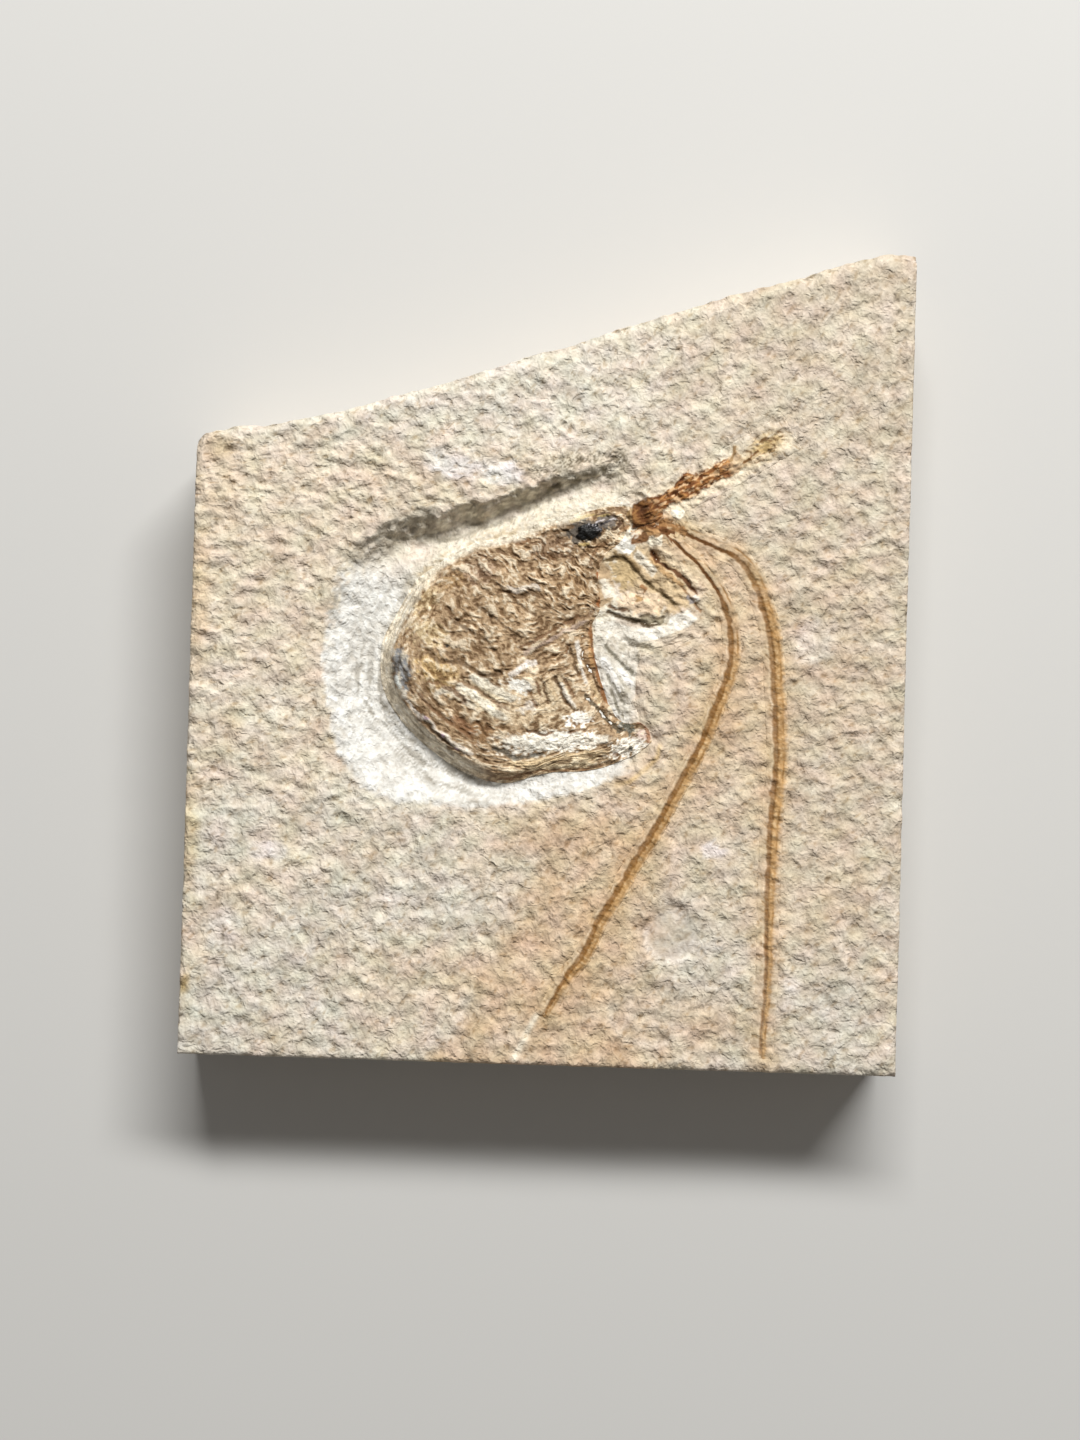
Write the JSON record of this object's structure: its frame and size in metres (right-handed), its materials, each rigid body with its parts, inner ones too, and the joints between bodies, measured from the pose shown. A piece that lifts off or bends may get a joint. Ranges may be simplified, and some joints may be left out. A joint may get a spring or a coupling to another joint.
{
  "type": "fossil shrimp slab",
  "caption": "Pale sawn limestone plate with a slanted broken edge and a curled brown fossil shrimp in a shallow hollow, its long antennae trailing down the face.",
  "frame": {"origin": "under the middle of the plate, at the bottom centre of the whole fossil's bounding box, on the flat underside", "axes": "+Z out of the fossil face, +Y along the sawn side edges towards the slanted broken edge, +X along the bottom edge to the right as the face is read"},
  "size_m": [0.1074, 0.123, 0.0197],
  "materials": {
    "limestone": "matt, flaky",
    "fossil_shell": "matt, wrinkled",
    "dark_mineral": "satin",
    "rust_stain": "matt"
  },
  "bodies": {
    "root": {"limestone_slab": "limestone", "shrimp_body": "fossil_shell", "eye": "dark_mineral", "inner_antenna": "rust_stain", "outer_antenna": "rust_stain"}
  },
  "joints": []
}
